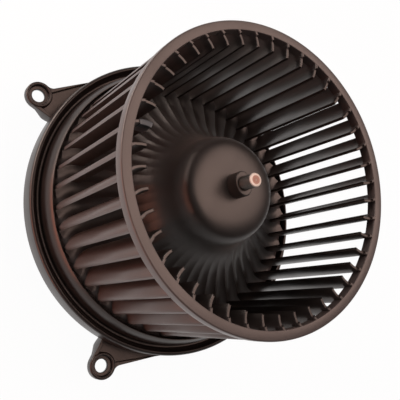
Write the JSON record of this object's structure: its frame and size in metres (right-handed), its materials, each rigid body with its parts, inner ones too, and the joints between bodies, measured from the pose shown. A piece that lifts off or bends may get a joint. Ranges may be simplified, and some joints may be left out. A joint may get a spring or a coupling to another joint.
{
  "type": "car cabin blower motor",
  "caption": "Cabin blower: an open fan wheel of curved blades on a brushed motor, carried in a round flange with mounting ears and a plug socket behind.",
  "frame": {"origin": "on the shaft's axis, in the seat plane, the front faces of the mounting ears", "axes": "+Z along the shaft towards the wheel's open end, +X midway between the two front ears"},
  "size_m": [0.1844, 0.1708, 0.126],
  "materials": {
    "wheel_plastic": "satin black moulded plastic",
    "flange_plastic": "satin black moulded plastic",
    "cover_plastic": "black moulded plastic",
    "socket_plastic": "black moulded plastic",
    "shaft_steel": "ground steel",
    "clip_steel": "plated spring steel",
    "can_steel": "zinc-plated sheet steel",
    "plate_steel": "zinc-plated sheet steel",
    "screw_steel": "plated steel",
    "spring_steel": "spring steel",
    "lamination_steel": "stacked sheet steel",
    "ferrite": "sintered ferrite",
    "copper": "copper",
    "bronze": "sintered bronze",
    "brass": "brass sheet",
    "terminal_tin": "tinned brass",
    "carbon": "pressed carbon",
    "card": "phenolic board",
    "washer_plastic": "low-friction plastic",
    "rubber": "soft rubber"
  },
  "bodies": {
    "housing": {"front_bearing": "bronze", "rear_bearing": "bronze", "front_bearing_retainer": "spring_steel", "rear_bearing_retainer": "spring_steel", "motor_can": "can_steel", "magnet_right": "ferrite", "magnet_left": "ferrite", "magnet_springs": "spring_steel", "end_plate": "plate_steel", "brush_card": "card", "brush_holders": "brass", "brush_spring_upper": "spring_steel", "brush_spring_lower": "spring_steel", "choke_coils": "copper", "front_isolator": "rubber", "rear_isolator": "rubber", "flange_rim": "flange_plastic", "flange_floor": "flange_plastic", "flange_ribs": "flange_plastic", "mounting_ears": "flange_plastic", "motor_cup": "flange_plastic", "screw_bosses": "flange_plastic", "rear_cover": "cover_plastic", "cover_screws": "screw_steel", "connector_socket": "socket_plastic", "terminal_blades": "terminal_tin"},
    "rotor": {"fan_hub": "wheel_plastic", "fan_blades": "wheel_plastic", "fan_ring": "wheel_plastic", "balance_clip": "clip_steel", "motor_shaft": "shaft_steel", "armature_core": "lamination_steel", "armature_windings": "copper", "commutator": "copper", "thrust_washers": "washer_plastic"},
    "brush_a": {"brush_upper": "carbon"},
    "brush_b": {"brush_lower": "carbon"}
  },
  "joints": [
    {"name": "wheel_spin", "type": "hinge", "parent": "housing", "child": "rotor", "pos_m": [0, 0, 0], "axis": [0, 0, 1], "continuous": true},
    {"name": "brush_upper_slide", "type": "slide", "parent": "housing", "child": "brush_a", "axis": [0, 1, 0], "range_m": [0, 0.0025], "stiffness_N_per_m": 400, "springref_m": -0.002, "deforming": ["brush_spring_upper"]},
    {"name": "brush_lower_slide", "type": "slide", "parent": "housing", "child": "brush_b", "axis": [0, -1, 0], "range_m": [0, 0.0025], "stiffness_N_per_m": 400, "springref_m": -0.002, "deforming": ["brush_spring_lower"]}
  ]
}
